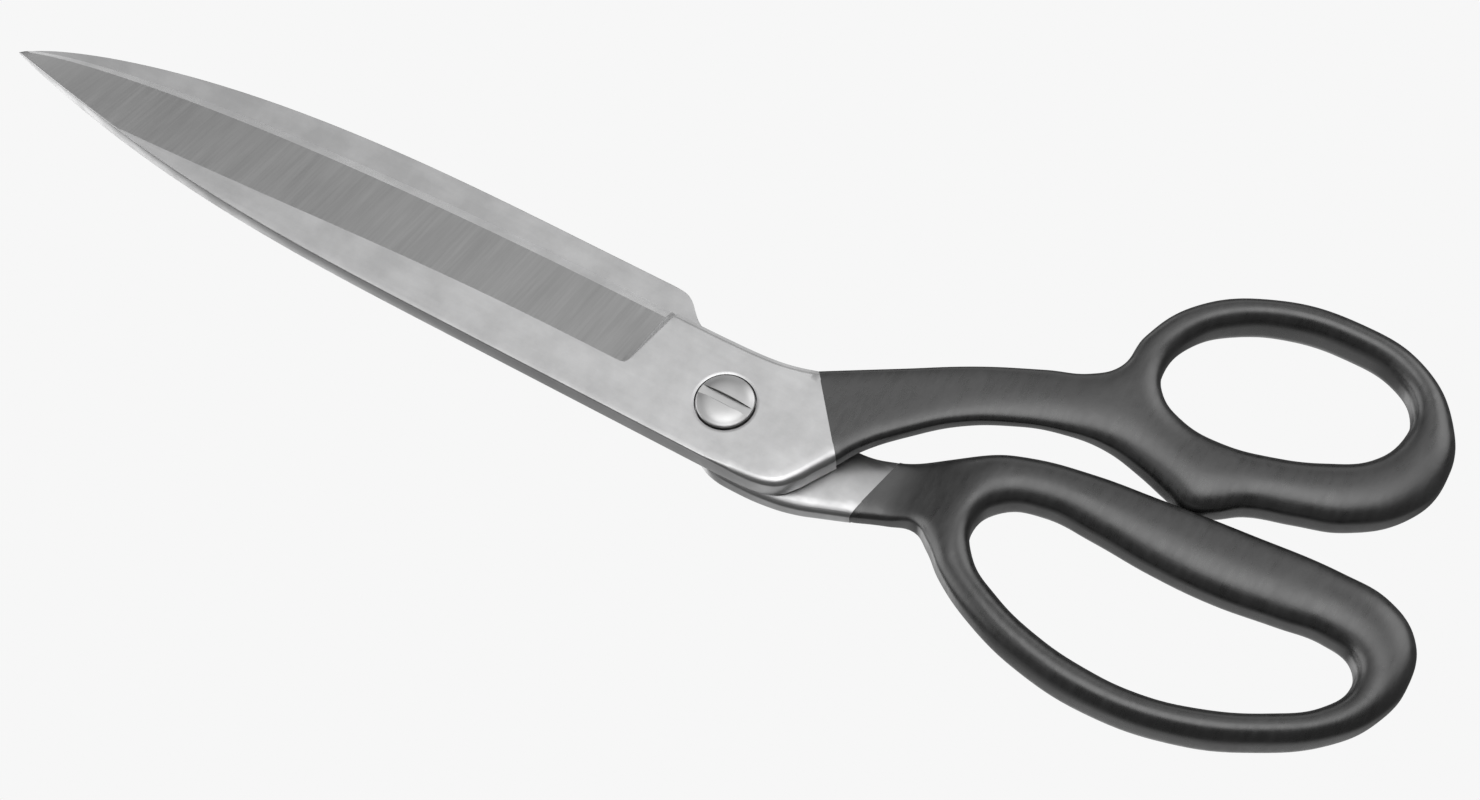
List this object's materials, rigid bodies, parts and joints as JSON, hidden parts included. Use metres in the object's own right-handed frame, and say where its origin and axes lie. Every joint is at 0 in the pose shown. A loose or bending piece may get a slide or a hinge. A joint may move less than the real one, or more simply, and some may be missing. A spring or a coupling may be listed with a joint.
{
  "type": "fabric shears",
  "caption": "Closed bent-handle fabric shears: two ground steel blades on a slotted pivot screw, with a small thumb ring and a long finger bow.",
  "frame": {"origin": "where the pivot axis leaves the flat tail of the pivot screw, at the back of the shears", "axes": "+Z along the pivot screw towards its slotted head, +X from the pivot to the handles, parallel to the front blade's back, +Y towards the thumb ring"},
  "size_m": [0.2547, 0.0781, 0.014],
  "materials": {
    "blade_steel": "satin ground, brushed across the blade",
    "rear_blade_steel": "satin ground",
    "front_handle_coating": "satin black coating",
    "rear_handle_coating": "satin black coating",
    "screw_steel": "polished",
    "washer_bronze": "plain",
    "spring_steel": "plain",
    "nut_steel": "plain"
  },
  "bodies": {
    "rear_half": {"rear_blade": "rear_blade_steel", "rear_handle": "rear_handle_coating", "spring_washer": "spring_steel", "lock_nut": "nut_steel"},
    "front_half": {"front_blade": "blade_steel", "front_handle": "front_handle_coating", "friction_washer": "washer_bronze"},
    "tension_adjuster": {"pivot_screw": "screw_steel"}
  },
  "joints": [
    {"name": "blade_pivot", "type": "hinge", "parent": "rear_half", "child": "front_half", "pos_m": [0, 0, 0.009], "axis": [0, 0, 1], "range_deg": [0, 90]},
    {"name": "tension_screw", "type": "hinge", "parent": "rear_half", "child": "tension_adjuster", "pos_m": [0, 0, 0.009], "axis": [0, 0, 1], "range_deg": [-90, 90]}
  ]
}
